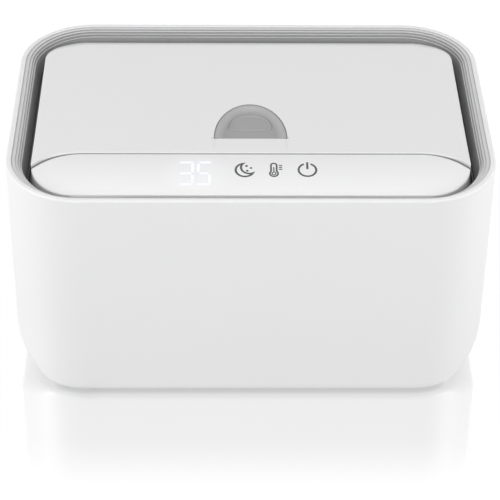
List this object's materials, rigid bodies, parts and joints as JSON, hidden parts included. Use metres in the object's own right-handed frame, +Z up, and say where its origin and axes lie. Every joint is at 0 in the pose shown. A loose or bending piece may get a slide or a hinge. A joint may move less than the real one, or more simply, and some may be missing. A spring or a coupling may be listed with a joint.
{
  "type": "wipe warmer",
  "caption": "Warmer for wet wipes: rounded tub housing with a stepped rim, heated inner tank, sprung hinged lid with push-button latch, and sloping touch panel.",
  "frame": {"origin": "centre of the bounding box's bottom face, on the standing surface", "axes": "+Z up; front, with the touch panel and the latch, towards -Y; hinge at +Y; +X to the right seen from above with the front nearest"},
  "size_m": [0.22, 0.152, 0.11],
  "materials": {
    "white_housing": "satin moulded ABS",
    "white_lid": "satin moulded ABS",
    "white_panel": "smooth translucent-backed ABS",
    "white_deck": "satin moulded ABS",
    "grey_ring": "satin moulded ABS",
    "grey_button": "satin moulded ABS",
    "base_plastic": "fine textured ABS",
    "liner_plastic": "smooth polypropylene",
    "tank_plastic": "smooth polypropylene",
    "natural_nylon": "natural acetal",
    "gasket_rubber": "soft silicone",
    "feet_rubber": "soft rubber",
    "screw_steel": "zinc plated",
    "spring_steel": "drawn spring steel",
    "spreader_aluminium": "rolled sheet",
    "film_orange": "polyimide film",
    "foam_white": "closed-cell foam",
    "component_black": "moulded component bodies",
    "board_green": "solder-masked laminate",
    "cable_grey": "ribbon cable insulation",
    "pad_copper": "sprung touch electrodes",
    "led_lens": "diffused lens"
  },
  "bodies": {
    "housing": {"outer_shell": "white_housing", "base_plate": "base_plastic", "base_feet": "feet_rubber", "base_screws": "screw_steel", "inner_tank": "tank_plastic", "tank_gasket": "gasket_rubber", "tank_screws": "screw_steel", "heat_spreader": "spreader_aluminium", "heating_film": "film_orange", "insulation_pad": "foam_white", "thermistor": "component_black", "thermal_fuse": "screw_steel", "power_board": "board_green", "dc_inlet": "component_black", "ribbon_cable": "cable_grey", "top_deck": "white_deck", "deck_screws": "screw_steel", "rim_ring": "grey_ring", "control_panel": "white_panel", "control_board": "board_green", "board_screws": "screw_steel", "led_display": "component_black", "touch_pads": "pad_copper", "night_light_leds": "led_lens", "latch_catch": "natural_nylon", "hinge_pins": "screw_steel", "lid_springs": "spring_steel"},
    "lid": {"lid_cover": "white_lid", "lid_liner": "liner_plastic", "lid_seal": "gasket_rubber", "lid_screws": "screw_steel", "button_springs": "spring_steel", "latch_spring": "spring_steel"},
    "button": {"release_button": "grey_button"},
    "latch": {"latch_slider": "natural_nylon"}
  },
  "joints": [
    {"name": "lid_hinge", "type": "hinge", "parent": "housing", "child": "lid", "pos_m": [0, 0.054, 0.105], "axis": [-1, 0, 0], "range_deg": [0, 80]},
    {"name": "button_push", "type": "slide", "parent": "lid", "child": "button", "axis": [0, 0, -1], "range_m": [0, 0.002], "stiffness_N_per_m": 500, "springref_m": -0.001, "deforming": ["button_springs"]},
    {"name": "latch_slide", "type": "slide", "parent": "lid", "child": "latch", "axis": [0, 1, 0], "range_m": [0, 0.002], "deforming": ["latch_spring"]}
  ],
  "couplings": [
    {"joint": "latch_slide", "follows": "button_push", "ratio": 1}
  ]
}
